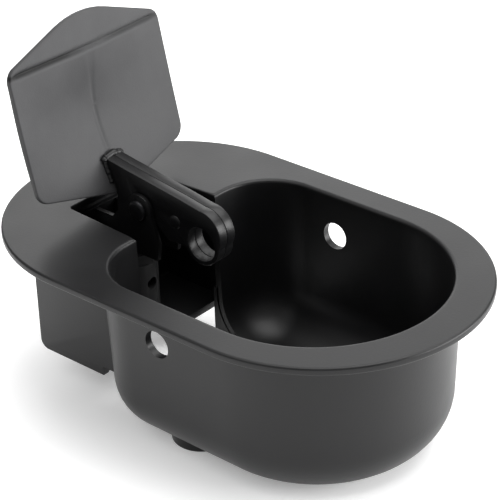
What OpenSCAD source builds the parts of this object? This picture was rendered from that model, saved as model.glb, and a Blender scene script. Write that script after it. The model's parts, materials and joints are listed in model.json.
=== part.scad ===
// Flange-hung livestock drinking bowl with a nose plate that opens a push valve.
// Origin: middle of the flange outline, on the flange's underside. +X runs towards
// the round front of the bowl, +Z is up, and the XZ plane is the plane of symmetry.

/* [Flange] */
// Half the width of the flange, which is also the radius of its round ends
flange_r = 100; // [98:1:106]
// Half the distance between the centres of the two round ends
flange_reach = 61.5; // [60:0.5:70]
// Thickness of the flange
flange_t = 5; // [4:0.5:6]
// Thickness of the raised pad under the flange that the rear casing is welded to
pad_t = 1; // [0.5:0.5:2]

/* [Bowl] */
// Outer radius of the bowl's round front at the flange
bowl_r = 84; // [82:0.5:86]
// Distance from the origin to the centre of the bowl's round front
bowl_front_x = 57; // [54:1:60]
// Outer face of the bowl's rear wall
bowl_rear_x = -57; // [-58:0.5:-56]
// Depth of the bowl below the flange's underside
bowl_depth = 103; // [98:1:108]
// Thickness of the bowl's wall
wall = 4.6; // [4:0.2:5]
// Taper of the bowl's walls, in degrees
draft = 2.2; // [1:0.2:3]
// Radius where the walls turn into the bottom
bottom_r = 35; // [30:1:36]
// Radius of the two rear corners, seen from above
corner_r = 41; // [41:0.5:44]
// Radius of the fixing hole in each side wall
side_hole_r = 8.75; // [8:0.25:9]
// Place of the side holes along the bowl
side_hole_x = 7.5; // [0:0.5:20]
// Depth of the side holes' centres below the flange's underside
side_hole_depth = 22.5; // [18:0.5:30]

/* [Neck] */
// Half the width of the neck where it leaves the bowl
neck_half = 35.5; // [34:0.5:37]
// Half the width of the neck at its rear end
neck_rear_half = 31.5; // [30:0.5:34]
// Rear end of the neck opening
neck_rear_x = -112.4; // [-113:0.2:-111]
// Depth of the neck's sill below the flange's underside
sill_depth = 94; // [90:1:94]

/* [Rear casing] */
// Half the outer width of the casing
casing_half = 58; // [56:1:60]
// Outer face of the casing's rear wall
casing_rear_x = -120; // [-122:0.5:-119]
// Depth of the casing below the flange's underside
casing_depth = 85; // [83:1:86]
// Thickness of the casing's sheet
casing_t = 4.5; // [4:0.5:5]
// Outer radius of the bend between rear wall and floor
casing_bend = 6; // [5:0.5:8]
// Front edge of the casing's floor
floor_front_x = -65.2; // [-68:0.1:-65]
// Radius of the round cut-out in the middle of the floor's front edge
floor_notch_r = 18; // [16:1:19]

/* [Nose plate] */
// Half the width of the nose plate
plate_half = 63.3; // [60:0.5:64]
// Thickness of the nose plate
plate_t = 3.8; // [3:0.2:4]
// How far the middle crease bows back behind a straight line
crease_bow = 8.3; // [4:0.1:9]
// Height of the plate's two upper corners
plate_shoulder_z = 101; // [98:1:104]
// Height of the plate's round top
plate_top_z = 121.7; // [119:0.1:124]

/* [Lever arm] */
// Thickness of one half of the arm
arm_t = 6.8; // [6:0.1:6.8]
// Height of the pivot above the flange's underside
pivot_z = 7; // [6:0.5:8]
// Place of the pivot along the bowl
pivot_x = -74; // [-75:0.5:-73]
// Radius of the pivot pin
pin_r = 4; // [3.5:0.25:4]
// Radius of the hole through the arm's nose
eye_r = 11; // [10:0.5:11]

/* [Valve] */
// Place of the valve's axis along the bowl
valve_x = -90; // [-90.5:0.5:-89.5]
// Radius of the valve housing
valve_r = 14; // [13:0.5:14]
// Radius of the half-inch pipe thread on the inlet
inlet_r = 10.48; // [10.48]
// Radius of the valve stem
stem_r = 3.5; // [3:0.25:3.5]

/* [Feet] */
// Radius of the two round feet beside the flat of the bowl's bottom
foot_r = 18.7; // [16:0.1:19]
// Distance of each foot's centre from the plane of symmetry
foot_y = 48.8; // [46:0.2:50]

/* [Hidden] */
$fn = 96;
hull_fn = 32;
eps = 0.01;
satin = [0.06, 0.06, 0.065];
dark_steel = [0.16, 0.16, 0.17];
nylon = [0.05, 0.05, 0.055];
rubber = [0.03, 0.03, 0.03];
zinc = [0.55, 0.56, 0.58];

// A slab of the 2-D XZ outline below it, from y = y0 to y = y0 + t
module along_y(y0, t) { translate([0, y0 + t, 0]) rotate([90, 0, 0]) linear_extrude(t) children(); }

// A tube about a vertical axis
module ring(r_out, r_in, z0, z1) {
    difference() {
        translate([0, 0, z0]) cylinder(r = r_out, h = z1 - z0);
        translate([0, 0, z0 - 1]) cylinder(r = r_in, h = z1 - z0 + 2);
    }
}

// ---- bowl ----
// Inset of the bowl's outline at an angle of turn a round the bottom radius r,
// for a bowl whose bottom is at z = -depth
function turn_z(a, depth, r) = -depth + r - r * sin(a);
function taper(z) = -z * tan(draft);
function turn_inset(a, depth, r) = taper(-depth + r) + r * (1 - cos(a));

// The bowl's outline at height z, drawn in by inset d
module bowl_ring(d, z) {
    front = bowl_r - d;
    corner = corner_r - d;
    translate([bowl_front_x, 0, z]) cylinder(r = front, h = eps, $fn = 2 * hull_fn);
    for (s = [-1, 1])
        translate([bowl_rear_x + corner_r, s * (bowl_r - corner_r), z])
            cylinder(r = max(corner, 0.5), h = eps, $fn = hull_fn);
}

// A convex bowl-shaped solid: inset d0 all round, top at z_top, bottom at -depth
module bowl_form(d0, z_top, depth, r) {
    hull() {
        bowl_ring(d0 + taper(z_top), z_top - eps);
        for (a = [0:15:90]) bowl_ring(d0 + turn_inset(a, depth, r), turn_z(a, depth, r));
    }
}

// The neck opening, seen from above, from the bowl's rear wall to its rear end
module neck_outline() {
    polygon([[bowl_rear_x + 12, -neck_half], [neck_rear_x, -neck_rear_half],
             [neck_rear_x, neck_rear_half], [bowl_rear_x + 12, neck_half]]);
}

pad_margin = 1;
web_reach = 14;
web_top_depth = 60;

module bowl_shell() {
    inner_depth = bowl_depth - wall;
    color(satin) difference() {
        union() {
            linear_extrude(flange_t) union() {
                for (s = [-1, 1]) translate([s * flange_reach, 0]) circle(r = flange_r, $fn = 128);
                square([2 * flange_reach, 2 * flange_r], center = true);
            }
            translate([casing_rear_x - pad_margin, -casing_half - pad_margin, -pad_t])
                cube([bowl_rear_x + 8 - casing_rear_x, 2 * (casing_half + pad_margin), pad_t + 1]);
            bowl_form(0, 1, bowl_depth, bottom_r);
            for (y0 = [neck_half - 0.4, -neck_half + 0.4 - wall])
                translate([bowl_rear_x, y0, -sill_depth])
                    cube([web_reach, wall, sill_depth - web_top_depth]);
        }
        bowl_form(wall, flange_t + 1, inner_depth, bottom_r - wall);
        translate([0, 0, -sill_depth]) linear_extrude(sill_depth + flange_t + 1)
            intersection() {
                neck_outline();
                translate([bowl_rear_x - 4, -neck_half]) square([16, 2 * neck_half]);
            }
        translate([0, 0, -pad_t - 1]) linear_extrude(flange_t + pad_t + 2) neck_outline();
        for (s = [0, 180]) rotate([0, 0, s])
            translate([(s == 0 ? 1 : -1) * side_hole_x, 60, -side_hole_depth])
                rotate([-90, 0, 0]) cylinder(r = side_hole_r, h = 40);
    }
}

// ---- rear casing ----
// Side outline of the casing, grown inwards by d
module casing_outline(d) {
    x0 = casing_rear_x + d;
    z0 = -casing_depth + d;
    b = casing_bend - d;
    union() {
        translate([x0 + b, z0 + b]) circle(r = b, $fn = 48);
        translate([x0, z0 + b]) square([bowl_rear_x + 8 - x0, -z0 - b]);
        translate([x0 + b, z0]) square([floor_front_x - x0 - b, b + 1]);
    }
}

module rear_casing() {
    inner = casing_half - casing_t;
    color(satin) difference() {
        intersection() {
            along_y(-casing_half, 2 * casing_half) casing_outline(0);
            translate([casing_rear_x - 1, -casing_half - 1, -casing_depth - 1])
                cube([bowl_rear_x + 8 - casing_rear_x, 2 * casing_half + 2, casing_depth + 1 - pad_t]);
        }
        along_y(-inner, 2 * inner) union() {
            casing_outline(casing_t);
            translate([floor_front_x - 1, -casing_depth - 1]) square([60, casing_depth + 2]);
            translate([casing_rear_x + casing_t, -10]) square([60, 11]);
        }
        bowl_form(0, 1, bowl_depth, bottom_r);
        bracket_holes(screw_hole_r);
        translate([floor_front_x, 0, -casing_depth - 1])
            translate([3, 0, 0]) cylinder(r = floor_notch_r, h = casing_t + 2);
        at_inlet(casing_rear_x - 1) cylinder(r = inlet_r + 0.4, h = casing_t + 2);
    }
}

// ---- feet ----
foot_edge = 1.5;
foot_top = -80;

// A round foot that fills the bottom curve beside the flat, level with the bowl's bottom
module foot(side) {
    color(satin) difference() {
        translate([side_hole_x, side * foot_y, 0]) union() {
            translate([0, 0, -bowl_depth + foot_edge])
                cylinder(r = foot_r, h = bowl_depth - foot_edge + foot_top);
            translate([0, 0, -bowl_depth]) cylinder(r = foot_r - foot_edge, h = foot_edge + 1);
            translate([0, 0, -bowl_depth + foot_edge])
                rotate_extrude() translate([foot_r - foot_edge, 0]) circle(r = foot_edge, $fn = 32);
        }
        bowl_form(0, 1, bowl_depth, bottom_r);
    }
}

module foot_left() { foot(1); }
module foot_right() { foot(-1); }

// ---- lever: nose plate ----
plate_tip = [-96.5, 9.9];
plate_ridge = [-118.2, plate_shoulder_z - 0.8];
plate_low_corner = [-104, 24];
plate_high_corner = [-120.7, plate_shoulder_z];
plate_bands = 5;
top_arc_r = 61;
top_arc_turn = 20;
top_lean = 0.2;

function mix(a, b, v) = a + (b - a) * v;
// Front of the middle crease and of the side edge, at the share v of the plate's height
function crease_at(v) = [mix(plate_tip[0], plate_ridge[0], v) - crease_bow * pow(sin(180 * v), 1.5), 0,
                         mix(plate_tip[1], plate_ridge[1], v)];
function edge_at(v, s) = [mix(plate_low_corner[0], plate_high_corner[0], v), s * (plate_half - plate_t / 2),
                          mix(plate_low_corner[1], plate_high_corner[1], v)];

// Front of the plate's round top, at an angle of turn a from its middle
function top_drop(a) = top_arc_r * (1 - cos(a)) + plate_t / 2;
function top_at(a) = [plate_ridge[0] - 0.8 * abs(sin(a)) - top_lean * (plate_top_z - top_drop(a) - plate_ridge[1]),
                      top_arc_r * sin(a), plate_top_z - top_drop(a)];

// A sheet with round edges through the corner points given, its front face on them
module sheet(points) {
    hull() for (p = points)
        translate(p - [plate_t / 2, 0, 0]) sphere(d = plate_t, $fn = 16);
}

module nose_plate() {
    color(satin) union() {
        for (s = [-1, 1], k = [0:plate_bands - 1]) {
            v0 = k / plate_bands;
            v1 = (k + 1) / plate_bands;
            sheet([crease_at(v0), crease_at(v1), edge_at(v0, s), edge_at(v1, s)]);
        }
        sheet(concat([crease_at(1), edge_at(1, -1), edge_at(1, 1)],
                     [for (k = [-2:2]) top_at(k * top_arc_turn / 2)]));
    }
}

// ---- lever: arm ----
eye = [-26.5, -2.5];
lobe_r = 13.8;
nose_centre = [-26, 5];
nose_r = 15.2;
pivot_boss_r = 11;
heel = [valve_x, 2];
heel_r = 6;
rivet_at = [-47, 6];
rivet_r = 3;

// Outline of the arm's straight web, seen from the side
module arm_web() {
    polygon([[-104.6, 31.8], [-90, 29.5], [-42, 22.8], [-22, 19.4], [-22, -8.3], [-54, -8.3],
             [-56.4, -6.3], [-59.5, -3.5], [-62.7, -1.1], [-72, -3.5], [valve_x + 1, -3.5],
             [-95.4, 3], [-95.4, 12], [-99.4, 21.6]]);
}

// One half of the arm, from y = y0, with its eye, bush seat and rivet hole
module arm_half(y0) {
    rounds = [[nose_centre, nose_r], [eye, lobe_r], [[pivot_x, pivot_z], pivot_boss_r], [heel, heel_r]];
    holes = [[eye, eye_r], [[pivot_x, pivot_z], bush_r], [rivet_at, rivet_r]];
    color(satin) difference() {
        union() {
            along_y(y0, arm_t) arm_web();
            for (c = rounds) along_y(y0, arm_t) translate(c[0]) circle(r = c[1]);
        }
        for (c = holes) along_y(y0 - 1, arm_t + 2) translate(c[0]) circle(r = c[1]);
    }
}

module arm_left() { arm_half(0); }
module arm_right() { arm_half(-arm_t); }

// Weld beads that join the arm's two sides to the plate
module arm_weld() {
    bead_r = 3;
    low = [-98.2, 16];
    high = [-103.8, 30.5];
    color(satin) union() {
        for (s = [-1, 1]) hull() for (p = [low, high])
            translate([p[0], s * (arm_t + 0.6), p[1]]) sphere(r = bead_r, $fn = 16);
        hull() for (s = [-1, 1])
            translate([high[0], s * arm_t, high[1] + 1]) sphere(r = bead_r, $fn = 16);
    }
}

module lever_rivet() {
    head_r = 4.5;
    head_h = 1.2;
    color(satin) translate([rivet_at[0], 0, rivet_at[1]]) rotate([90, 0, 0]) union() {
        cylinder(r = rivet_r, h = 2 * arm_t, center = true);
        for (s = [0, 180]) rotate([s, 0, 0]) translate([0, 0, arm_t]) intersection() {
            cylinder(r = head_r, h = head_h);
            translate([0, 0, head_h - 9]) sphere(r = 9);
        }
    }
}

// ---- pivot ----
bush_r = pin_r + 2;
cheek_in = 7.5;
cheek_t = 3;
cheek_out = cheek_in + cheek_t;
pin_head_r = 6.5;

module pivot_bush() {
    color(nylon) translate([pivot_x, 0, pivot_z]) rotate([90, 0, 0])
        translate([0, 0, -arm_t]) difference() {
            cylinder(r = bush_r, h = 2 * arm_t);
            translate([0, 0, -1]) cylinder(r = pin_r + 0.05, h = 2 * arm_t + 2);
        }
}

module pivot_pin() {
    groove_y = cheek_out + 0.3;
    color(dark_steel) translate([pivot_x, 0, pivot_z]) rotate([90, 0, 0]) difference() {
        union() {
            translate([0, 0, -cheek_out - 3.5]) cylinder(r = pin_r, h = 2 * cheek_out + 3.5);
            translate([0, 0, cheek_out]) cylinder(r = pin_head_r, h = 2);
            translate([0, 0, cheek_out + 2]) cylinder(r1 = pin_head_r, r2 = pin_head_r - 1, h = 1);
        }
        translate([0, 0, -groove_y - 1.1]) difference() {
            cylinder(r = pin_r + 1, h = 1.1);
            translate([0, 0, -1]) cylinder(r = pin_r - 0.5, h = 4);
        }
    }
}

module pin_circlip() {
    color(dark_steel) translate([pivot_x, cheek_out + 0.35, pivot_z]) rotate([-90, 0, 0]) difference() {
        cylinder(r = 6.2, h = 1);
        translate([0, 0, -1]) cylinder(r = pin_r - 0.45, h = 3);
        translate([0, -1.6, -1]) cube([10, 3.2, 3]);
    }
}

// ---- pivot bracket and its fasteners ----
bracket_x = casing_rear_x + casing_t;
screw_r = 2.5;
screw_hole_r = 2.75;
screw_y = 18;
screw_rows = [-14, -38];
screw_head_h = 3.5;
nut_h = 4;
washer_t = 1;

// Lays children at each bracket screw, turned so that +Z points forwards, at x
module at_screws(x) {
    for (s = [-1, 1], z = screw_rows) translate([x, s * screw_y, z]) rotate([0, 90, 0]) children();
}

module bracket_holes(r) { at_screws(casing_rear_x - 1) cylinder(r = r, h = 12); }

module pivot_bracket() {
    color(satin) difference() {
        union() {
            translate([bracket_x, -26, -46]) cube([cheek_t, 52, 42]);
            for (y0 = [cheek_in, -cheek_out]) along_y(y0, cheek_t) union() {
                translate([pivot_x, pivot_z]) circle(r = 10);
                polygon([[bracket_x + 1, -4.5], [-97, -4.5], [-83, 11.3], [-65.4, 12],
                         [-63.5, 3], [-58.5, -12], [-60, -24], [bracket_x + 1, -24]]);
            }
        }
        bracket_holes(screw_hole_r);
        translate([pivot_x, 0, pivot_z]) rotate([90, 0, 0]) cylinder(r = pin_r + 0.05, h = 40, center = true);
    }
}

module bracket_screws() {
    stack = casing_t + cheek_t + washer_t;
    color(zinc) {
        at_screws(casing_rear_x) cylinder(r = screw_r, h = stack + nut_h + 1.5);
        at_screws(casing_rear_x - screw_head_h) cylinder(r = 4.6, h = screw_head_h, $fn = 6);
    }
}

module bracket_washers() {
    color(zinc) at_screws(bracket_x + cheek_t) difference() {
        cylinder(r = 5, h = washer_t);
        translate([0, 0, -1]) cylinder(r = screw_r + 0.15, h = washer_t + 2);
    }
}

module bracket_nuts() {
    color(zinc) at_screws(bracket_x + cheek_t + washer_t) difference() {
        cylinder(r = 4.6, h = nut_h, $fn = 6);
        translate([0, 0, -1]) cylinder(r = screw_r + 0.05, h = nut_h + 2);
    }
}

// ---- valve ----
housing_bottom = -78;
housing_top = -36;
cap_top = -29;
inlet_z = -67;
inlet_end_x = -140;
inlet_pipe_r = 12;
waterway_r = 6;
gasket_t = 1.5;
lock_nut_h = 5;
relief_w = 1;
spring_floor_z = -75;
chamber_r = 9;
seat_z = -60;
poppet_r = 7.5;
poppet_z = seat_z - 6.3;
outlet_r = 4;
outlet_z = -50;
wall_in_x = casing_rear_x + casing_t;
nut_end_x = casing_rear_x - lock_nut_h;

module at_valve() { translate([valve_x, 0, 0]) children(); }

// Lays children on the inlet's axis, turned so that +Z points forwards, at x
module at_inlet(x) { translate([x, 0, inlet_z]) rotate([0, 90, 0]) children(); }

module valve_housing() {
    shoulder_x = wall_in_x + gasket_t;
    color(nylon) difference() {
        union() {
            at_valve() translate([0, 0, housing_bottom]) cylinder(r = valve_r, h = housing_top - housing_bottom);
            at_inlet(shoulder_x) cylinder(r = inlet_pipe_r, h = valve_x - shoulder_x);
            at_inlet(inlet_end_x) cylinder(r = inlet_r, h = shoulder_x - inlet_end_x + 1);
        }
        at_inlet(nut_end_x - relief_w) ring(inlet_r + 1, inlet_r - 1, 0, relief_w);
        at_inlet(inlet_end_x - 1) cylinder(r = waterway_r, h = valve_x - inlet_end_x + 1);
        at_valve() translate([0, 0, spring_floor_z])
            cylinder(r = chamber_r, h = housing_top - spring_floor_z + 1);
        at_valve() translate([0, 0, outlet_z]) rotate([0, 90, 0]) cylinder(r = outlet_r, h = valve_r + 1);
    }
}

module valve_cap() {
    color(nylon) at_valve() difference() {
        union() {
            translate([0, 0, housing_top]) cylinder(r = valve_r + 1, h = cap_top - housing_top, $fn = 6);
            translate([0, 0, housing_top - 6]) cylinder(r = chamber_r - 0.05, h = 7);
        }
        translate([0, 0, housing_top - 7]) cylinder(r = stem_r + 0.08, h = 30);
        translate([0, 0, housing_top - 3]) rotate_extrude() translate([stem_r - 0.5, 0]) square([2.9, 2.4]);
    }
}

module cap_seal() {
    color(rubber) at_valve() translate([0, 0, housing_top - 1.8]) rotate_extrude()
        translate([stem_r + 1.15, 0]) circle(r = 1, $fn = 24);
}

module valve_seat() {
    color(dark_steel) at_valve() ring(chamber_r - 0.05, 5, seat_z, seat_z + 3);
}

module inlet_filter() {
    color(zinc) at_inlet(inlet_end_x) ring(waterway_r - 0.05, waterway_r - 1, 0.5, 14);
}

module inlet_gasket() {
    color(rubber) at_inlet(wall_in_x) ring(inlet_pipe_r - 0.2, inlet_r + 0.1, 0, gasket_t);
}

module lock_nut() {
    color(zinc) at_inlet(nut_end_x) difference() {
        cylinder(r = 17.3, h = lock_nut_h, $fn = 6);
        translate([0, 0, -1]) cylinder(r = inlet_r + 0.05, h = lock_nut_h + 2);
    }
}

// ---- sliding stem ----
button_gap = 0.3;
button_top = heel[1] - heel_r - button_gap;
button_h = 4;

module valve_stem() {
    color(dark_steel) at_valve() union() {
        translate([0, 0, poppet_z]) cylinder(r = stem_r, h = button_top - button_h + 2 - poppet_z);
        translate([0, 0, poppet_z - 1]) cylinder(r = poppet_r, h = 4);
    }
}

module stem_button() {
    color(nylon) at_valve() difference() {
        translate([0, 0, button_top - button_h]) cylinder(r = 6, h = button_h);
        translate([0, 0, button_top - button_h - 1]) cylinder(r = stem_r + 0.02, h = 3.02);
    }
}

module poppet_seal() {
    color(rubber) at_valve() ring(poppet_r, stem_r + 0.02, poppet_z + 3, seat_z - 0.3);
}

module poppet_spring() {
    coil_r = 6.4;
    wire = 0.6;
    z0 = spring_floor_z + wire + 0.1;
    z1 = poppet_z - 1 - wire - 0.1;
    turns = 3;
    steps = 12 * turns;
    function coil(i) = [coil_r * cos(360 * i * turns / steps), coil_r * sin(360 * i * turns / steps),
                        mix(z0, z1, i / steps)];
    color(zinc) at_valve() union() for (i = [0:steps - 1]) hull() {
        translate(coil(i)) sphere(r = wire, $fn = 6);
        translate(coil(i + 1)) sphere(r = wire, $fn = 6);
    }
}

bowl_shell();
rear_casing();
foot_left();
foot_right();
nose_plate();
arm_left();
arm_right();
arm_weld();
lever_rivet();
pivot_bush();
pivot_pin();
pin_circlip();
pivot_bracket();
bracket_screws();
bracket_washers();
bracket_nuts();
valve_housing();
valve_cap();
cap_seal();
valve_seat();
inlet_filter();
inlet_gasket();
lock_nut();
valve_stem();
stem_button();
poppet_seal();
poppet_spring();
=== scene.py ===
import json
import math

import bmesh
import bpy
import numpy as np
from mathutils import Matrix


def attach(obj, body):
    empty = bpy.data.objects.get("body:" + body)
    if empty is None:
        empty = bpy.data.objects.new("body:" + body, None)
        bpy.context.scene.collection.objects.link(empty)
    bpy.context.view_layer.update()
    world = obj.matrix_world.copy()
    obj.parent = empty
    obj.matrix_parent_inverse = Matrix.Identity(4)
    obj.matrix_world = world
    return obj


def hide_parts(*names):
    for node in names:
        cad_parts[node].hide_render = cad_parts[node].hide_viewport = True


# Satin black drinking bowl with a nose plate on a pivoted lever.
# Lengths of pieces are in millimetres in the CAD's frame, and add_mesh() turns them into metres. The
# floor, the lamps and the camera are in metres.

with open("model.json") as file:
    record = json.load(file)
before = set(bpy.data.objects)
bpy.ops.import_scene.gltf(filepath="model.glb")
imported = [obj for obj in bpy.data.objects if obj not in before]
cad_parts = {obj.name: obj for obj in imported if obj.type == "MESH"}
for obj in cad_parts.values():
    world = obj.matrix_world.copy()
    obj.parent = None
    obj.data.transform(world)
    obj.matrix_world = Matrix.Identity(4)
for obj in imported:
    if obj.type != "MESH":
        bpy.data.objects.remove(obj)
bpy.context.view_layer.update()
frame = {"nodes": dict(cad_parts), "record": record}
nodes = frame["nodes"]
MM = 0.001


# ---------------------------------------------------------------- colour and nodes

def srgb(text):
    """Linear RGBA for an sRGB hex colour."""
    parts = [int(text[i:i + 2], 16) / 255 for i in (1, 3, 5)]
    linear = [c / 12.92 if c <= 0.04045 else ((c + 0.055) / 1.055) ** 2.4 for c in parts]
    return (*linear, 1.0)


def add_node(tree, kind, settings=None, inputs=None):
    """Adds one node, sets its properties, and sets its inputs or links them to other sockets."""
    made = tree.nodes.new(kind)
    for key, value in (settings or {}).items():
        setattr(made, key, value)
    for key, value in (inputs or {}).items():
        if isinstance(value, bpy.types.NodeSocket):
            tree.links.new(value, made.inputs[key])
        else:
            made.inputs[key].default_value = value
    return made


def per_mm(size):
    """Noise scale, per metre, whose features are about size millimetres across."""
    return 1.0 / (size * MM)


def finish_material(name, dark, light, cloud_mm, grain_mm, grain_depth_mm, rough, metallic=0.0,
                    specular=0.5):
    """A surface whose colour and roughness drift over cloud_mm and whose fine relief has grain_mm grains.
    dark and light are the ends of the colour drift, and rough holds the ends of the roughness drift."""
    noise_low = 0.3
    noise_high = 0.7
    made = bpy.data.materials.new(name)
    made.use_nodes = True
    made.diffuse_color = srgb(light)
    tree = made.node_tree
    tree.nodes.clear()
    coords = add_node(tree, "ShaderNodeTexCoord")
    cloud = add_node(tree, "ShaderNodeTexNoise", None,
                     {"Vector": coords.outputs["Object"], "Scale": per_mm(cloud_mm), "Detail": 3.0})
    grain = add_node(tree, "ShaderNodeTexNoise", None,
                     {"Vector": coords.outputs["Object"], "Scale": per_mm(grain_mm), "Detail": 3.0})
    tint = add_node(tree, "ShaderNodeValToRGB", None, {"Fac": cloud.outputs["Fac"]})
    tint.color_ramp.elements[0].position = noise_low
    tint.color_ramp.elements[0].color = srgb(dark)
    tint.color_ramp.elements[1].position = noise_high + 0.02
    tint.color_ramp.elements[1].color = srgb(light)
    gloss = add_node(tree, "ShaderNodeMapRange", None,
                     {"Value": cloud.outputs["Fac"], "From Min": noise_low, "From Max": noise_high,
                      "To Min": rough[0], "To Max": rough[1]})
    relief = add_node(tree, "ShaderNodeBump", None,
                      {"Height": grain.outputs["Fac"], "Strength": 1.0, "Distance": grain_depth_mm * MM})
    shader = add_node(tree, "ShaderNodeBsdfPrincipled", None,
                      {"Base Color": tint.outputs["Color"], "Roughness": gloss.outputs["Result"],
                       "Normal": relief.outputs["Normal"], "Metallic": metallic,
                       "Specular IOR Level": specular})
    add_node(tree, "ShaderNodeOutputMaterial", None, {"Surface": shader.outputs["BSDF"]})
    return made


# Satin black stoved coating on cast and plate metal: very dark, with a soft wide highlight and an
# orange-peel relief about a millimetre and a half across.
coating = finish_material("satin_black_stoved_coating", "#0b0b0c", "#111112", 45, 1.5, 0.035,
                          (0.36, 0.43), specular=0.33)
# The same coating on the nose plate, in a flat dark grey painted lighter than the coating to stand in for
#  the light falling on the plate: hardly any sheen and a fine grain.
plate_coating_painted_lighter = finish_material("black_coating_painted_lighter_on_plate", "#363637", "#414142", 28, 1.1, 0.06,
                         (0.5, 0.58), specular=0.24)
# Black oxide on turned steel: a dull metal sheen, slightly uneven, with a very fine relief.
oxide = finish_material("black_oxide_steel", "#1d1d1f", "#2b2b2d", 12, 0.4, 0.02, (0.34, 0.46),
                        metallic=0.85)
# Moulded glass-filled nylon: a fine even texture from the mould and hardly any highlight.
nylon = finish_material("moulded_black_nylon", "#0e0e0f", "#171718", 20, 0.7, 0.03, (0.5, 0.6))
# Nitrile rubber: dull, from nearly black to slightly grey.
nitrile = finish_material("nitrile_rubber", "#0b0b0b", "#151515", 15, 0.5, 0.02, (0.68, 0.8))
# Bright zinc plate on steel: silver-grey, with faint patches from the plating bath.
zinc = finish_material("zinc_plated_steel", "#9b9ea3", "#b9bcc0", 4, 0.5, 0.01, (0.28, 0.42), metallic=1.0)
slot_material = {"satin_black": coating, "black_steel": oxide, "black_nylon": nylon,
                 "rubber": nitrile, "zinc_steel": zinc}


# ---------------------------------------------------------------- meshes

def grid_quads(rows, cols, wrap_rows=False, wrap_cols=True):
    """Corner numbers of the cells of a grid, row by row, joined to its start where asked."""
    r, c = np.meshgrid(np.arange(rows if wrap_rows else rows - 1),
                       np.arange(cols if wrap_cols else cols - 1), indexing="ij")
    r1 = (r + 1) % rows
    c1 = (c + 1) % cols
    return np.stack([r * cols + c, r * cols + c1, r1 * cols + c1, r1 * cols + c], -1).reshape(-1, 4)


def surface(points, wrap_rows=False, poles=False):
    """Vertices and faces of a grid of points (rows, columns, 3) that closes round its columns.
    Its ends are joined to each other with wrap_rows, or each closed by a fan to its middle with poles."""
    rows, cols = points.shape[:2]
    verts = points.reshape(-1, 3)
    faces = grid_quads(rows, cols, wrap_rows).tolist()
    if poles:
        here = np.arange(cols)
        beside = (here + 1) % cols
        last = (rows - 1) * cols
        faces += np.stack([np.full(cols, rows * cols), beside, here], -1).tolist()
        faces += np.stack([np.full(cols, rows * cols + 1), last + here, last + beside], -1).tolist()
        verts = np.vstack([verts, points[0].mean(0), points[-1].mean(0)])
    return verts, faces


def joined(*parts):
    """One vertex list and face list out of several closed parts."""
    verts = []
    faces = []
    count = 0
    for part_verts, part_faces in parts:
        verts.append(part_verts)
        faces += [[count + i for i in face] for face in part_faces]
        count += len(part_verts)
    return np.vstack(verts), faces


def add_mesh(name, part, slot, body, stands_for=(), bevel=None, sharp=None):
    """Makes a piece from vertices in millimetres and faces, turned outwards, on one body."""
    verts, faces = part
    mesh = bpy.data.meshes.new(name)
    mesh.from_pydata((np.asarray(verts, float) * MM).tolist(), [], faces)
    shape = bmesh.new()
    shape.from_mesh(mesh)
    if shape.calc_volume(signed=True) < 0:
        bmesh.ops.reverse_faces(shape, faces=shape.faces)
    shape.to_mesh(mesh)
    shape.free()
    return place(name, mesh, slot, body, stands_for, bevel, sharp)


def place(name, mesh, slot, body, stands_for=(), bevel=None, sharp=None):
    """Puts a mesh in the scene as a piece, smooth shaded, with an optional bevel on its sharp edges."""
    mesh.materials.clear()
    mesh.materials.append(slot_material[slot])
    mesh.polygons.foreach_set("use_smooth", np.ones(len(mesh.polygons), bool))
    piece = bpy.data.objects.new(name, mesh)
    bpy.context.scene.collection.objects.link(piece)
    if sharp:
        mesh.set_sharp_from_angle(angle=math.radians(sharp))
    if bevel:
        width, segments = bevel
        edge = piece.modifiers.new("edge_round", "BEVEL")
        edge.width = width * MM
        edge.segments = segments
        edge.limit_method = "ANGLE"
        edge.angle_limit = math.radians(32)
        edge.harden_normals = True
        edge.use_clamp_overlap = True
    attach(piece, body)
    if stands_for:
        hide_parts(*stands_for)
    return piece


def cad_copy(node, name, slot, body, bevel, lift_top=None):
    """A copy of a CAD node with its loose triangles merged into whole faces and its edges rounded.
    lift_top raises the points at the first height given to the second."""
    mesh = nodes[node].data.copy()
    mesh.name = name
    shape = bmesh.new()
    shape.from_mesh(mesh)
    bmesh.ops.remove_doubles(shape, verts=shape.verts, dist=0.002 * MM)
    bmesh.ops.dissolve_limit(shape, angle_limit=math.radians(0.4), verts=shape.verts, edges=shape.edges,
                             delimit={"NORMAL"})
    if lift_top:
        low, high = lift_top
        for vert in shape.verts:
            if vert.co.z > (low - 0.05) * MM:
                vert.co.z = high * MM
    shape.to_mesh(mesh)
    shape.free()
    return place(name, mesh, slot, body, [node], bevel)


# ---------------------------------------------------------------- bowl and flange

WALL = 4.6
TAPER = math.tan(math.radians(2.2))
BOWL_R = 84.0
FRONT_X = 57.0
REAR_X = -57.0
CORNER_R = 41.0
DEPTH = 103.0
TURN_R = 35.0
TURN_Z = -DEPTH + TURN_R
NECK_SIDE = 35.1
SILL_Z = -94.0
HOLE_AT = (7.5, -22.5)
HOLE_R = 8.75
BLOCK = 13.0
BLOCK_CELLS = 12
FLANGE_R = 100.0
FLANGE_REACH = 61.5
FLANGE_T = 5.0
LIP_R = 2.25
LIP_INSET_Z = 2.5
TOP_INSET = WALL - LIP_INSET_Z * TAPER
NECK_END_X = -112.4
NECK_END_SIDE = 31.6
NECK_CORNER_R = 2.0
WALL_CELLS_ABOVE = 3
WALL_CELLS_BELOW = 6
TURN_CELLS_ABOVE = 7
TURN_CELLS_BELOW = 6
MIDDLE = (20.0, 0.0)


def arc(centre, radius, start, end, cells):
    """Points on an arc and their outward directions, without its last point."""
    turn = np.radians(np.linspace(start, end, cells, endpoint=False))
    out = np.stack([np.cos(turn), np.sin(turn)], -1)
    return np.array(centre) + radius * out, out


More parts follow.
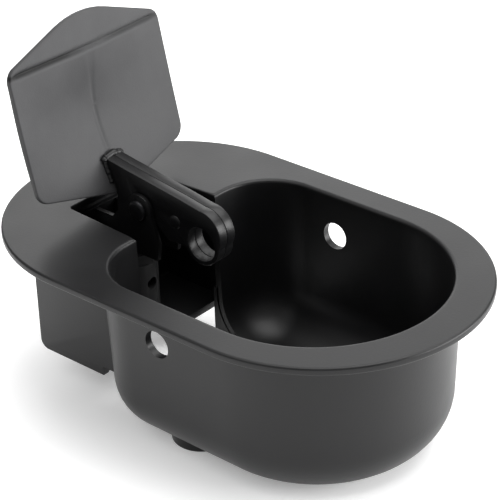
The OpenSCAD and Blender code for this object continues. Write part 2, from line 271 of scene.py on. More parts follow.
def straight(start, end, cells, out):
    """Evenly spaced points on a straight line with one outward direction, without its last point."""
    share = np.linspace(0, 1, cells, endpoint=False)[:, None]
    points = np.array(start) * (1 - share) + np.array(end) * share
    return points, np.tile(np.array(out, float), (cells, 1))


def bowl_plan():
    """The bowl's outer wall seen from above and its outward directions. It starts at the neck's right
    edge, goes round the front to the neck's left edge, and then straight back across the neck.
    Also the number of points before the neck, and the first column of the block round each side hole."""
    cx = REAR_X + CORNER_R
    cy = BOWL_R - CORNER_R
    x0 = HOLE_AT[0] - BLOCK
    x1 = HOLE_AT[0] + BLOCK
    legs = [
        straight((REAR_X, -NECK_SIDE), (REAR_X, -cy), 2, (-1, 0)),
        arc((cx, -cy), CORNER_R, 180, 270, 18),
        straight((cx, -BOWL_R), (x0, -BOWL_R), 4, (0, -1)),
        straight((x0, -BOWL_R), (x1, -BOWL_R), BLOCK_CELLS, (0, -1)),
        straight((x1, -BOWL_R), (FRONT_X, -BOWL_R), 10, (0, -1)),
        arc((FRONT_X, 0), BOWL_R, -90, 90, 84),
        straight((FRONT_X, BOWL_R), (x1, BOWL_R), 10, (0, 1)),
        straight((x1, BOWL_R), (x0, BOWL_R), BLOCK_CELLS, (0, 1)),
        straight((x0, BOWL_R), (cx, BOWL_R), 4, (0, 1)),
        arc((cx, cy), CORNER_R, 90, 180, 18),
        straight((REAR_X, cy), (REAR_X, NECK_SIDE), 2, (-1, 0)),
        straight((REAR_X, NECK_SIDE), (REAR_X, -NECK_SIDE), 20, (-1, 0)),
    ]
    counts = np.cumsum([0] + [len(leg[0]) for leg in legs])
    plan = np.vstack([leg[0] for leg in legs])
    out = np.vstack([leg[1] for leg in legs])
    return plan, out, int(counts[11]) + 1, (int(counts[3]), int(counts[7]))


def stadium(where):
    """Points on the flange's outline and outward directions, at distances along it from the start of
    its right side, counted anticlockwise."""
    side = 2 * FLANGE_REACH
    half = math.pi * FLANGE_R
    where = np.mod(where, 2 * (side + half))
    along = [where, where - side, where - side - half, where - 2 * side - half]
    turn_a = -math.pi / 2 + along[1] / FLANGE_R
    turn_b = math.pi / 2 + along[3] / FLANGE_R
    leg = np.digitize(where, [side, side + half, 2 * side + half])
    x = np.choose(leg, [-FLANGE_REACH + along[0], FLANGE_REACH + FLANGE_R * np.cos(turn_a),
                        FLANGE_REACH - along[2], -FLANGE_REACH + FLANGE_R * np.cos(turn_b)])
    y = np.choose(leg, [-FLANGE_R + 0 * where, FLANGE_R * np.sin(turn_a),
                        FLANGE_R + 0 * where, FLANGE_R * np.sin(turn_b)])
    nx = np.choose(leg, [0 * where, np.cos(turn_a), 0 * where, np.cos(turn_b)])
    ny = np.choose(leg, [-1 + 0 * where, np.sin(turn_a), 1 + 0 * where, np.sin(turn_b)])
    return np.stack([x, y], -1), np.stack([nx, ny], -1)


def closed_shell(top, under, faces):
    """A closed wall between two sheets with the same cells: the top cells, the under cells turned
    over, and a strip of cells along every free edge."""
    count = len(top)
    edges = faces_edges(faces)
    keys = edges[:, 0] * count + edges[:, 1]
    back = edges[:, 1] * count + edges[:, 0]
    free = edges[~np.isin(keys, back)]
    strip = np.stack([free[:, 1], free[:, 0], free[:, 0] + count, free[:, 1] + count], -1)
    turned = [[i + count for i in reversed(f)] for f in faces]
    used = np.unique(edges)
    used = np.concatenate([used, used + count])
    renumber = np.zeros(2 * count, int)
    renumber[used] = np.arange(len(used))
    every = faces + turned + strip.tolist()
    return np.vstack([top, under])[used], [renumber[f].tolist() for f in every]


def faces_edges(faces):
    """All directed edges of quads and triangles."""
    out = []
    for size in (3, 4):
        some = np.array([f for f in faces if len(f) == size]).reshape(-1, size)
        out += [np.stack([some[:, i], some[:, (i + 1) % size]], -1) for i in range(size)]
    return np.vstack(out)


def bowl_part():
    """The flange, the bowl and its open neck as one wall between a top sheet and an under sheet.
    Each sheet is a row of rings: round the flange's edge, over its top, round the lip of the opening,
    down the tapered wall, round the bottom's radius, and in to the middle of the flat bottom."""
    plan, out, front_count, blocks = bowl_plan()
    # flange: the opening follows the bowl's lip, then goes round the neck
    turn_x = NECK_END_X + NECK_CORNER_R
    turn_y = NECK_END_SIDE - NECK_CORNER_R
    slant = 0.06
    neck_x = REAR_X + TOP_INSET
    neck_legs = [straight((neck_x, NECK_SIDE), (turn_x, NECK_END_SIDE), 12, (slant, 1)),
                 arc((turn_x, turn_y), NECK_CORNER_R, 90, 180, 4),
                 straight((NECK_END_X, turn_y), (NECK_END_X, -turn_y), 12, (-1, 0)),
                 arc((turn_x, -turn_y), NECK_CORNER_R, 180, 270, 4),
                 straight((turn_x, -NECK_END_SIDE), (neck_x, -NECK_SIDE), 12, (slant, -1))]
    neck = np.vstack([leg[0] for leg in neck_legs])[1:]
    neck_out = np.vstack([leg[1] for leg in neck_legs])[1:]
    lip = np.vstack([plan[:front_count] - TOP_INSET * out[:front_count], neck])
    lip_out = np.vstack([out[:front_count], neck_out])
    lip_out[0] = (-1, -1)
    lip_out[front_count - 1] = (-1, 1)
    cols = len(lip)
    is_neck = np.arange(cols) >= front_count
    # distances along the flange's outline that face the points of the opening
    side = 2 * FLANGE_REACH
    half = math.pi * FLANGE_R
    whole = 2 * (side + half)
    cells_between = [2, 18, 26, 84, 26, 18, 2, 12, 3, 15, 3]
    knots = np.concatenate([[0], np.cumsum(cells_between), [cols]])
    corner = FLANGE_REACH - 16
    past_side = 4.5
    rear = FLANGE_R * math.radians(52)
    neck_before = FLANGE_R * math.radians(68)
    neck_after = FLANGE_R * math.radians(72)
    left_end = whole - half
    places = np.array([-rear, -rear * 0.9, corner, side - past_side, side + half + past_side,
                       left_end - corner, left_end + rear * 0.9, left_end + rear, left_end + neck_before,
                       left_end + neck_after, whole - neck_after, whole - neck_before, whole - rear])
    rim, rim_out = stadium(np.interp(np.arange(cols), knots, places))
    bend = np.radians(np.linspace(0, 90, 6))
    edge_r = 1.5
    gap = 0.6
    neck_edge_r = 0.6
    fillet = 2.4
    lip_r = np.where(is_neck, 1.0, LIP_R)
    top_rows = []
    under_rows = []
    for a in bend:
        inset = edge_r * (1 - math.cos(a))
        ring = rim - inset * rim_out
        top_rows.append(np.column_stack([ring, np.full(cols, FLANGE_T - edge_r + edge_r * math.sin(a))]))
        under_rows.append(np.column_stack([ring, np.full(cols, edge_r - edge_r * math.sin(a))]))
    ring = rim - (edge_r + gap) * rim_out
    top_rows.append(np.column_stack([ring, np.full(cols, FLANGE_T)]))
    under_rows.append(np.column_stack([ring, np.zeros(cols)]))
    wall_line = np.vstack([plan[:front_count], neck])
    for i, a in enumerate(np.concatenate([[0.0], bend])):
        extra = gap if i == 0 else 0.0
        reach = lip_r * (1 - math.sin(a)) + extra
        ring = lip + reach[:, None] * lip_out
        top_rows.append(np.column_stack([ring, FLANGE_T - lip_r * (1 - math.cos(a))]))
        reach = np.where(is_neck, neck_edge_r, fillet) * (1 - math.sin(a)) + extra
        ring = wall_line + reach[:, None] * lip_out
        drop = np.where(is_neck, neck_edge_r, -fillet) * (1 - math.cos(a))
        under_rows.append(np.column_stack([ring, drop]))
    flange_rows = len(top_rows)
    # bowl: rings below the lip
    block_top = HOLE_AT[1] + BLOCK
    block_foot = HOLE_AT[1] - BLOCK
    lip_z = FLANGE_T - LIP_R
    wall_z = np.concatenate([np.linspace(lip_z, block_top, WALL_CELLS_ABOVE + 1),
                             np.linspace(block_top, block_foot, BLOCK_CELLS + 1)[1:],
                             np.linspace(block_foot, TURN_Z, WALL_CELLS_BELOW + 1)[1:]])
    squeezed = np.interp(wall_z, [block_top, lip_z], [block_top, -fillet])
    wall_z_under = np.where(wall_z > block_top, squeezed, wall_z)
    turn_in_r = TURN_R - WALL

    def bottom_turn(radius):
        sill = math.degrees(math.asin((TURN_Z - SILL_Z) / radius))
        return np.radians(np.concatenate([np.linspace(0, sill, TURN_CELLS_ABOVE + 1)[1:],
                                          np.linspace(sill, 90, TURN_CELLS_BELOW + 1)[1:]]))

    turn_in = bottom_turn(turn_in_r)
    turn_out = bottom_turn(TURN_R)
    sill_row = len(wall_z) - 1 + TURN_CELLS_ABOVE
    top_inset = np.concatenate([WALL - TAPER * wall_z,
                                WALL - TAPER * TURN_Z + turn_in_r * (1 - np.cos(turn_in))])
    under_inset = np.concatenate([-TAPER * wall_z_under, -TAPER * TURN_Z + TURN_R * (1 - np.cos(turn_out))])
    top_z = np.concatenate([wall_z, TURN_Z - turn_in_r * np.sin(turn_in)])
    under_z = np.concatenate([wall_z_under, TURN_Z - TURN_R * np.sin(turn_out)])
    bowl_cols = len(plan)

    def rings(inset, height):
        flat = plan[None] - inset[:, None, None] * out[None]
        lift = np.broadcast_to(height[:, None, None], (len(height), bowl_cols, 1))
        points = np.concatenate([flat, lift], -1)
        share = np.array([0.3, 0.6, 0.85])[:, None, None]
        middle = np.array([*MIDDLE, height[-1]])
        return np.concatenate([points, points[-1:] * (1 - share) + middle * share])

    top_bowl = rings(top_inset, top_z)
    under_bowl = rings(under_inset, under_z)
    rows = len(top_bowl)
    start = flange_rows * cols
    pole = start + rows * bowl_cols
    # cells of the flange, then of the bowl, whose first ring is the flange's last
    ids = start + np.arange(rows * bowl_cols).reshape(rows, bowl_cols)
    ids[0, :front_count] = (flange_rows - 1) * cols + np.arange(front_count)
    cells = []
    for r in range(rows - 1):
        c = np.arange(bowl_cols)
        if r < sill_row:
            c = c[:front_count - 1]
        for first in blocks:
            if WALL_CELLS_ABOVE <= r < WALL_CELLS_ABOVE + BLOCK_CELLS:
                c = c[(c < first) | (c >= first + BLOCK_CELLS)]
        n = (c + 1) % bowl_cols
        cells.append(np.stack([ids[r, c], ids[r, n], ids[r + 1, n], ids[r + 1, c]], -1))
    quads = np.vstack([grid_quads(flange_rows, cols), *cells]).tolist()
    last = ids[-1]
    fan = np.stack([last, np.roll(last, -1), np.full(bowl_cols, pole)], -1).tolist()
    top = np.vstack([np.vstack(top_rows), top_bowl.reshape(-1, 3), [[*MIDDLE, top_z[-1]]]])
    under = np.vstack([np.vstack(under_rows), under_bowl.reshape(-1, 3), [[*MIDDLE, under_z[-1]]]])
    # side holes: rings between the square block and the round hole
    for first in blocks:
        r0 = WALL_CELLS_ABOVE
        r1 = r0 + BLOCK_CELLS
        c1 = first + BLOCK_CELLS
        square = np.concatenate([ids[r0, first:c1], ids[r0:r1, c1], ids[r1, c1:first:-1],
                                 ids[r1:r0:-1, first]])
        square_x = top[square, 0]
        square_z = top[square, 2]
        turn = np.arctan2(square_z - HOLE_AT[1], square_x - HOLE_AT[0])
        sign = np.sign(top[square[0], 1])
        before = square
        for share in (0.5, 0.85, 1.0):
            x = square_x * (1 - share) + (HOLE_AT[0] + HOLE_R * np.cos(turn)) * share
            z = square_z * (1 - share) + (HOLE_AT[1] + HOLE_R * np.sin(turn)) * share
            here = len(top) + np.arange(len(square))
            top = np.vstack([top, np.column_stack([x, sign * (BOWL_R - WALL + TAPER * z), z])])
            under = np.vstack([under, np.column_stack([x, sign * (BOWL_R + TAPER * z), z])])
            quads += np.stack([before, np.roll(before, -1), np.roll(here, -1), here], -1).tolist()
            before = here
    return closed_shell(top, under, quads + fan)


add_mesh("bowl_and_flange", bowl_part(), "satin_black", "bowl", ["bowl_shell"], (0.45, 2))


WEB_TOP_Z = -62.0


def web_part(y0):
    """A web behind the bowl beside the neck, from y0 over one wall's thickness: a grid between the
    upright rear line of the bowl and the curve in which its wall turns into the bottom."""
    count = 28
    overlap = 1.5
    height = np.linspace(WEB_TOP_Z, SILL_Z, count)
    turn = np.arcsin(np.clip((TURN_Z - height) / TURN_R, 0, 1))
    drawn_in = -TAPER * np.maximum(height, TURN_Z) + TURN_R * (1 - np.cos(turn))
    outer = np.full(count, REAR_X)
    inner = REAR_X + drawn_in + overlap
    uprights = ((outer, y0), (inner, y0), (inner, y0 + WALL), (outer, y0 + WALL))
    corners = np.stack([np.column_stack([x, np.full(count, y), height]) for x, y in uprights], 1)
    return surface(corners, poles=True)


web_parts = [web_part(NECK_SIDE), web_part(-NECK_SIDE - WALL)]
add_mesh("rear_webs", joined(*web_parts), "satin_black", "bowl", sharp=40)


# ---------------------------------------------------------------- nose plate

PLATE_T = 3.8
PLATE_HALF = 63.3
FOLD_Z = 100.0
FOLD_X = -118.2
FOLD_SWEEP = 2.5
TOP_LEAN = 0.2
# Feet and heights of the crease and of the side edges below the fold, and how far each leans back.
CREASE_FOOT = (-96.5, 9.9)
CREASE_RISE = 90.3
CREASE_LEAN = 21.7
CREASE_BOW = 8.3
EDGE_FOOT = (-104.0, 24.0)
EDGE_RISE = 76.0
EDGE_LEAN = 16.7


def plate_front(y, z, soft=1.3, fold_width=0.7, groove_depth=2.0):
    """How far forward the plate's front lies. Below the fold it is ruled between the middle crease, which
    bows back, and the straight side edges. Above the fold it is one facet that leans back. The crease is
    rounded by taking a soft distance. A groove runs along the fold and a fainter one down the crease."""
    s = (np.sqrt(y * y + soft * soft) - soft) / PLATE_HALF
    groove_width = 1.25
    groove_end = 61
    line_share = 0.22
    line_width = 1.4
    line_foot = 26
    v = (z - CREASE_FOOT[1] * (1 - s) - EDGE_FOOT[1] * s) / (CREASE_RISE * (1 - s) + EDGE_RISE * s)
    bow = CREASE_BOW * np.sin(np.pi * np.clip(v, 0, 1)) ** 1.5
    lower = (1 - s) * (CREASE_FOOT[0] - CREASE_LEAN * v - bow) + s * (EDGE_FOOT[0] - EDGE_LEAN * v)
    upper = FOLD_X - FOLD_SWEEP * s - (z - FOLD_Z) * TOP_LEAN
    share = 1 / (1 + np.exp((FOLD_Z + 0.2 - z) / fold_width))
    run_out = np.clip((groove_end - np.abs(y)) / 6, 0, 1)
    groove = groove_depth * np.exp(-((z - FOLD_Z) / groove_width) ** 2) * run_out
    fade_in = np.clip((z - line_foot) / 12, 0, 1)
    line = groove_depth * line_share * np.exp(-(y / line_width) ** 2) * fade_in * (1 - share)
    return lower * (1 - share) + upper * share - groove - line


def rounded_loop(corners, radii, spacing):
    """A closed loop through the corners with each one replaced by an arc of its radius, and the straight
    stretches cut into steps of about the spacing. Anticlockwise corners."""
    corners = np.array(corners, float)
    before = np.roll(corners, 1, 0)
    after = np.roll(corners, -1, 0)
    arcs = []
    for p, a, b, r in zip(corners, before, after, radii):
        to_a = (a - p) / np.linalg.norm(a - p)
        to_b = (b - p) / np.linalg.norm(b - p)
        half_angle = math.acos(np.clip(to_a @ to_b, -1, 1)) / 2
        middle = p + (to_a + to_b) / np.linalg.norm(to_a + to_b) * r / math.sin(half_angle)
        first = p + to_a * r / math.tan(half_angle) - middle
        sweep = math.pi - 2 * half_angle
        turn = np.linspace(0, sweep, 9)[:, None]
        side = np.array([-first[1], first[0]])
        arcs.append(middle + np.cos(turn) * first + np.sin(turn) * side)
    pieces = []
    for here, there in zip(arcs, arcs[1:] + arcs[:1]):
        pieces.append(here)
        steps = max(2, int(np.linalg.norm(there[0] - here[-1]) / spacing))
        share = np.linspace(0, 1, steps + 1)[1:-1, None]
        pieces.append(here[-1] * (1 - share) + there[0] * share)
    return np.vstack(pieces)


def plate_part():
    """The nose plate: a dished sheet over a rounded outline. Rings spread from its middle over the front,
    over the rounded front edge, along the flat side face, over the rear edge, and back to the middle
    over the rear. The rear is the front surface moved along its normal by the sheet's thickness, with a wide
    fold and crease and no groove, as the outside of a pressed sheet has."""
    foot_z = 8.0
    side_foot_z = 22.5
    shoulder_z = 102.6
    peak_z = 125.8
    corners = [(0, foot_z), (PLATE_HALF, side_foot_z), (PLATE_HALF, shoulder_z), (0, peak_z),
               (-PLATE_HALF, shoulder_z), (-PLATE_HALF, side_foot_z)]
    outline = rounded_loop(corners, [7, 9, 9, 62, 9, 9], 2.0)
    edge = np.roll(outline, -1, 0) - np.roll(outline, 1, 0)
    edge_out = np.stack([edge[:, 1], -edge[:, 0]], -1) / np.linalg.norm(edge, axis=1)[:, None]
    edge_r = 0.9
    loop = outline - edge_r * edge_out
    centre = np.array([0.0, 62.0])
    spread = np.concatenate([np.linspace(0.02, 0.94, 44), np.linspace(0.95, 1, 5)])[:, None, None]
    flat = centre + spread * (loop - centre)
    step = 0.05

    def layer(yz, **shape):
        y = yz[..., 0]
        z = yz[..., 1]
        slope_y = (plate_front(y + step, z, **shape) - plate_front(y - step, z, **shape)) / (2 * step)
        slope_z = (plate_front(y, z + step, **shape) - plate_front(y, z - step, **shape)) / (2 * step)
        normal = np.stack([np.ones_like(y), -slope_y, -slope_z], -1)
        normal /= np.linalg.norm(normal, axis=-1, keepdims=True)
        return np.stack([plate_front(y, z, **shape), y, z], -1), normal, slope_y, slope_z

    wide = {"soft": 7.0, "fold_width": 4.0, "groove_depth": 0.0}
    front = layer(flat)[0]
    back, back_normal = layer(flat, **wide)[:2]
    back_rim, back_rim_normal = layer(loop, **wide)[:2]
    rim, rim_normal, slope_y, slope_z = layer(loop)
    out_y = edge_out[:, 0]
    out_z = edge_out[:, 1]
    tangent = np.stack([slope_y * out_y + slope_z * out_z, out_y, out_z], -1)
    tangent /= np.linalg.norm(tangent, axis=1)[:, None]
    turn = np.radians(np.linspace(0, 90, 6))[1:, None, None]
    front_edge = rim - edge_r * (1 - np.cos(turn)) * rim_normal + edge_r * np.sin(turn) * tangent
    rear_depth = PLATE_T - edge_r * (1 - np.cos(turn))
    rear_edge = (back_rim - rear_depth * back_rim_normal + edge_r * np.sin(turn) * tangent)[::-1]
    rear = (back - PLATE_T * back_normal)[::-1]
    return surface(np.concatenate([front, front_edge, rear_edge, rear]), poles=True)


def paint_shade_in_fold(made):
    """Painted shade in the fold: the base colour is mixed with nearly black by the product of three smooth
    ramps:
    closeness to the fold's height, how far forward the point lies, and the place across the plate, where
    it is full on the -Y half, weakest at the middle crease, and partial on the +Y half. The forward ramp
    keeps it off the rear face near the sides, but a faint line of it shows on the rear's middle."""
    mix_unshaded_input = 6
    mix_shade_input = 7
    mix_colour_output = 2
    tree = made.node_tree
    shader = [node for node in tree.nodes if node.type == "BSDF_PRINCIPLED"][0]
    unshaded_colour = shader.inputs["Base Color"].links[0].from_socket
    coords = add_node(tree, "ShaderNodeTexCoord")
    spot = add_node(tree, "ShaderNodeSeparateXYZ", None, {"Vector": coords.outputs["Object"]})

    def ramp(value, start, end, low, high):
        return add_node(tree, "ShaderNodeMapRange", {"interpolation_type": "SMOOTHSTEP"},
                        {"Value": value, "From Min": start * MM, "From Max": end * MM,
                         "To Min": low, "To Max": high}).outputs["Result"]

    def times(first, second):
        both = add_node(tree, "ShaderNodeMath", {"operation": "MULTIPLY"})
        tree.links.new(first, both.inputs[0])
        tree.links.new(second, both.inputs[1])
        return both.outputs["Value"]

    # painted shade: strongest just below the fold, full on the -Y half, weakest at the middle crease,
    # partial on the +Y half
    above = ramp(spot.outputs["Z"], FOLD_Z + 0.2, FOLD_Z + 1.9, 1.0, 0.0)
    below = ramp(spot.outputs["Z"], FOLD_Z - 2.6, FOLD_Z - 0.4, 0.0, 1.0)
    right_half = ramp(spot.outputs["Y"], -22, 2, 1.0, 0.25)
    left_half = ramp(spot.outputs["Y"], 2, 30, 0.0, 0.6)
    forward = ramp(spot.outputs["X"], -123.4, -122.6, 0.0, 1.0)
    along = add_node(tree, "ShaderNodeMath", {"operation": "MAXIMUM"})
    tree.links.new(right_half, along.inputs[0])
    tree.links.new(left_half, along.inputs[1])
    amount = times(times(times(above, below), along.outputs["Value"]), forward)
    mix = add_node(tree, "ShaderNodeMix", {"data_type": "RGBA"})
    tree.links.new(amount, mix.inputs["Factor"])
    tree.links.new(unshaded_colour, mix.inputs[mix_unshaded_input])
    # nearly black colour of the painted shade in the fold
    mix.inputs[mix_shade_input].default_value = srgb("#060606")
    tree.links.new(mix.outputs[mix_colour_output], shader.inputs["Base Color"])


# painted shade along the nose plate's fold
paint_shade_in_fold(plate_coating_painted_lighter)
plate = add_mesh("nose_plate_dished", plate_part(), "satin_black", "lever", ["nose_plate"])
# the plate gets the coating painted lighter, standing in for the light on it
plate.data.materials[0] = plate_coating_painted_lighter


# ---------------------------------------------------------------- lever arm, welds and pivot

cad_copy("arm_left", "arm_side_left", "satin_black", "lever", (0.8, 3))
cad_copy("arm_right", "arm_side_right", "satin_black", "lever", (0.8, 3))


def tube(path, radius, sides=16):
    """A closed round tube along a path: at each point, a ring in the plane across the path."""
    path = np.asarray(path, float)
    ahead = np.gradient(path, axis=0)
    ahead /= np.linalg.norm(ahead, axis=1)[:, None]
    across = np.cross(ahead, np.array([0.0, 0.0, 1.0]) + 1e-3 * np.array([1.0, 2.0, 0.0]))
    across /= np.linalg.norm(across, axis=1)[:, None]
    up = np.cross(across, ahead)
    turn = np.linspace(0, 2 * math.pi, sides, endpoint=False)[None, :, None]
    radius = np.broadcast_to(np.asarray(radius, float), (len(path),))[:, None, None]
    rings = path[:, None] + radius * (np.cos(turn) * across[:, None] + np.sin(turn) * up[:, None])
    return surface(rings, poles=True)


def bead(corners, radius, ripple_mm, spacing=0.5):
    """A weld bead: a tube through the corner points whose radius swells and shrinks in uneven ripples,
    drawn in to a blunt point at both ends."""
    corners = np.array(corners, float)
    lengths = np.concatenate([[0], np.cumsum(np.linalg.norm(np.diff(corners, axis=0), axis=1))])
    along = np.linspace(0, lengths[-1], int(lengths[-1] / spacing))
    path = np.stack([np.interp(along, lengths, corners[:, i]) for i in range(3)], -1)
    ripple = 1 + 0.07 * np.sin(2 * math.pi * along / ripple_mm) + 0.09 * np.sin(3.1 * along / ripple_mm + 1)
    ends = np.clip(np.minimum(along, lengths[-1] - along) / radius, 0, 1)
    return tube(path, radius * ripple * np.sqrt(1 - (1 - ends) ** 2 + 0.02))


def arm_weld_part():
    """Low beads up both sides of the arm where it meets the plate, a taller one over its top, and a
    blob at each upper corner where the beads meet."""
    low = (-98.9, 16)
    high = (-104.2, 30)
    sides = [bead([(low[0], s * 7.0, low[1]), (high[0], s * 7.2, high[1])], 1.7, 3.4) for s in (-1, 1)]
    over = bead([(-104.6, -7.4, 30.6), (-104.8, 0, 32), (-104.6, 7.4, 30.6)], 2.3, 4.1)
    blobs = [bead([(-104.8, s * 7.2, 29), (-104.4, s * 6.4, 32.6)], 2.6, 3.0) for s in (-1, 1)]
    return joined(*sides, over, *blobs)


add_mesh("arm_weld_beads", arm_weld_part(), "satin_black", "lever", ["arm_weld"])


def turned(profile, axis_at, axis, sides=64, poles=True):
    """A turned part: profile points (radius, distance along the axis) carried round the axis.
    A part with a hole has a closed profile and no poles."""
    profile = np.array(profile, float)
    angle = np.linspace(0, 2 * math.pi, sides, endpoint=False)
    cross = np.stack([np.cos(angle), np.sin(angle)], -1)
    points = np.zeros((len(profile), sides, 3))
    others = [i for i in range(3) if i != axis]
    points[..., others[0]] = profile[:, :1] * cross[:, 0] + axis_at[others[0]]
    points[..., others[1]] = profile[:, :1] * cross[:, 1] + axis_at[others[1]]
    points[..., axis] = profile[:, 1:] + axis_at[axis]
    return surface(points, wrap_rows=not poles, poles=poles)


PIVOT = (-74.0, 0.0, 7.0)
# Pin: domed head on the right, plain shank, groove for the clip and a chamfered end on the left.
pin_profile = [(0.5, -13.4), (4.6, -13.35), (5.9, -13.0), (6.4, -12.3), (6.5, -11.4), (6.45, -10.6),
               (6.2, -10.5), (4.0, -10.5), (4.0, 10.75), (3.55, 10.8), (3.55, 11.85), (4.0, 11.9),
               (4.0, 13.2), (3.3, 13.9), (0.5, 14.0)]
add_mesh("pivot_pin_turned", turned(pin_profile, PIVOT, 1), "black_steel", "bowl", ["pivot_pin"], sharp=40)
# Bush: plain sleeve in the arm, its bore chamfered at both ends.
bush_profile = [(6.0, -6.8), (6.0, 6.8), (4.5, 6.8), (4.05, 6.4), (4.05, -6.4), (4.5, -6.8)]
add_mesh("pivot_bush_sleeve", turned(bush_profile, PIVOT, 1, poles=False), "black_nylon", "lever",
         ["pivot_bush"], sharp=40)
# Rivet: shank through both sides of the arm with a low domed head on each.
dome = np.radians(np.linspace(0, 80, 8))
dome_r = 4.4 * np.sin(dome) / np.sin(dome[-1])
dome_h = 6.85 + 1.1 * (np.cos(dome) - np.cos(dome[-1])) / (1 - np.cos(dome[-1]))
head = [(max(r, 0.3), h) for r, h in zip(dome_r, dome_h)]
rivet_shank = [(4.4, 6.8), (3, 6.8), (3, -6.8), (4.4, -6.8)]
rivet_profile = head + rivet_shank + [(r, -h) for r, h in reversed(head)]
add_mesh("lever_rivet_domed", turned(rivet_profile, (-47.0, 0.0, 6.0), 1), "satin_black", "lever",
         ["lever_rivet"], sharp=50)
cad_copy("pin_circlip", "pivot_pin_clip", "black_steel", "bowl", (0.15, 2))
cad_copy("pivot_bracket", "pivot_bracket_welded", "satin_black", "bowl", (0.5, 3))

# ---------------------------------------------------------------- casing, feet and fasteners

cad_copy("rear_casing", "rear_casing_bent", "satin_black", "bowl", (0.6, 3), lift_top=(-1.0, 0.3))
casing_front = -58
casing_rear = -121.2
casing_side = 59.2
bead_z = -0.9
casing_corners = [(casing_front, casing_side, bead_z), (casing_rear, casing_side, bead_z),
                  (casing_rear, -casing_side, bead_z), (casing_front, -casing_side, bead_z)]
add_mesh("casing_weld_bead", bead(casing_corners, 1.3, 3.0), "satin_black", "bowl")
cad_copy("bracket_screws", "bracket_hex_screws", "zinc_steel", "bowl", (0.25, 2))
cad_copy("bracket_nuts", "bracket_hex_nuts", "zinc_steel", "bowl", (0.25, 2))
cad_copy("lock_nut", "inlet_lock_nut", "zinc_steel", "bowl", (0.4, 2))

# ---------------------------------------------------------------- valve

cad_copy("valve_housing", "valve_body_moulded", "black_nylon", "bowl", (0.4, 3))
cad_copy("valve_cap", "valve_cap_hex", "black_nylon", "bowl", (0.4, 3))
# Button: a domed nylon top on the stem that the arm's heel presses.
VALVE_X = -90.0
button_profile = [(3.52, -8.3), (5.5, -8.3), (6.0, -7.8), (6.0, -5.1), (5.6, -4.6), (4.0, -4.35),
                  (0.4, -4.3), (0.4, -6.2), (3.52, -6.3)]
add_mesh("stem_button_domed", turned(button_profile, (VALVE_X, 0.0, 0.0), 2, poles=False), "black_nylon",
         "stem", ["stem_button"], sharp=40)
# Spring: three turns of round wire between the housing floor and the poppet.
coil_r = 6.4
wire_r = 0.6
coil_turns = 3
coil_points = 120
coil = np.linspace(0, coil_turns * 2 * math.pi, coil_points)
coil_z = np.linspace(-74.3, -68.0, coil_points)
coil_path = np.stack([VALVE_X + coil_r * np.cos(coil), coil_r * np.sin(coil), coil_z], -1)
add_mesh("poppet_spring_wire", tube(coil_path, wire_r, 10), "zinc_steel", "stem", ["poppet_spring"])

# every CAD node that stays gets the finish of its slot
record_slots = {part["node"]: part["material_slot"] for part in frame["record"]["subparts"]}
for name, node in nodes.items():
    node.data.materials.clear()
    node.data.materials.append(slot_material[record_slots[name]])


# ---------------------------------------------------------------- floor, light and camera

def floor_material():
    """Matt pale board with a faint relief. It gives off a little light of its own, which keeps it white
    and its shadows soft."""
    made = bpy.data.materials.new("matt_white_board")
    made.use_nodes = True
    tree = made.node_tree
    tree.nodes.clear()
    coords = add_node(tree, "ShaderNodeTexCoord")
    grain = add_node(tree, "ShaderNodeTexNoise", None,
                     {"Vector": coords.outputs["Object"], "Scale": per_mm(3)})
    relief = add_node(tree, "ShaderNodeBump", None,
                      {"Height": grain.outputs["Fac"], "Strength": 0.3, "Distance": 0.05 * MM})
    shader = add_node(tree, "ShaderNodeBsdfPrincipled", None,
                      {"Base Color": srgb("#fafafa"), "Roughness": 0.9, "Normal": relief.outputs["Normal"],
                       "Emission Color": srgb("#ffffff"), "Emission Strength": 0.24})
    add_node(tree, "ShaderNodeOutputMaterial", None, {"Surface": shader.outputs["BSDF"]})
    return made


floor_mesh = bpy.data.meshes.new("floor")
reach = 6.0
floor_z = -DEPTH * MM
floor_mesh.from_pydata([(-reach, -reach, floor_z), (reach, -reach, floor_z), (reach, reach, floor_z),
                        (-reach, reach, floor_z)], [], [(0, 1, 2, 3)])
floor_mesh.materials.append(floor_material())
floor = bpy.data.objects.new("floor", floor_mesh)
bpy.context.scene.collection.objects.link(floor)

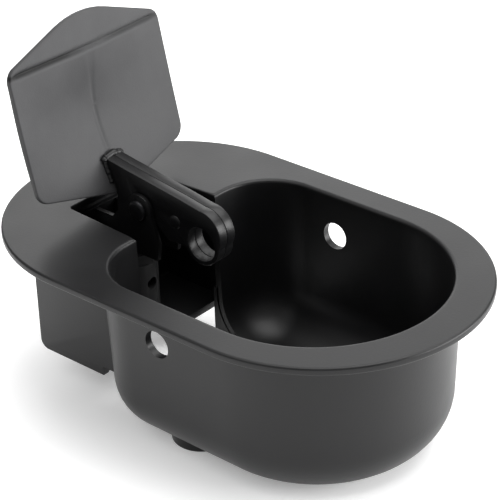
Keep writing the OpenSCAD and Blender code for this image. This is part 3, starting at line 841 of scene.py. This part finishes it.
world = bpy.data.worlds.new("soft_white_room")
bpy.context.scene.world = world
world.use_nodes = True
room = world.node_tree.nodes["Background"]
room.inputs["Color"].default_value = srgb("#ffffff")
room.inputs["Strength"].default_value = 0.4
bpy.context.scene.view_settings.view_transform = "Standard"


def softbox(name, at, aim, width, height, watts):
    """A rectangular lamp at a place in metres, turned to face a point."""
    lamp = bpy.data.lights.new(name, "AREA")
    lamp.shape = "RECTANGLE"
    lamp.size = width
    lamp.size_y = height
    lamp.energy = watts
    made = bpy.data.objects.new(name, lamp)
    back = np.array(at, float) - np.array(aim, float)
    back /= np.linalg.norm(back)
    right = np.cross([0.0, 0.0, 1.0], back)
    right /= np.linalg.norm(right)
    turn = Matrix(np.column_stack([right, np.cross(back, right), back]).tolist()).to_4x4()
    made.matrix_world = Matrix.Translation(at) @ turn
    bpy.context.scene.collection.objects.link(made)


softbox("overhead_softbox", (0.3, 0.6, 1.9), (0.1, 0.2, 0), 2.2, 2.2, 56)
softbox("front_overhead", (-0.5, -1.0, 1.7), (0, 0, 0), 1.8, 1.8, 12)
softbox("back_panel", (-1.5, 1.7, 0.9), (0, 0, 0), 2.4, 1.2, 20)
softbox("right_panel", (1.5, 0.95, 0.36), (-0.1, 0, 0.08), 1.5, 0.8, 40)


CAMERA_AT = (0.6946, -0.76606, 0.58028)


def aim_camera():
    """A long lens at the viewing angle: turned round, tipped down, then rolled a little."""
    az = math.radians(41.92)
    el = math.radians(29.31)
    roll = math.radians(-1.99)
    back = np.array([math.sin(az) * math.cos(el), -math.cos(az) * math.cos(el), math.sin(el)])
    right = np.array([math.cos(az), math.sin(az), 0.0])
    up = np.cross(back, right)
    right_rolled = math.cos(roll) * right + math.sin(roll) * up
    up_rolled = -math.sin(roll) * right + math.cos(roll) * up
    lens = bpy.data.cameras.new("camera")
    lens.lens = 144
    lens.sensor_width = 36
    lens.clip_start = 0.05
    lens.clip_end = 30
    made = bpy.data.objects.new("camera", lens)
    turn = Matrix(np.column_stack([right_rolled, up_rolled, back]).tolist()).to_4x4()
    made.matrix_world = Matrix.Translation(CAMERA_AT) @ turn
    bpy.context.scene.collection.objects.link(made)
    bpy.context.scene.camera = made


aim_camera()
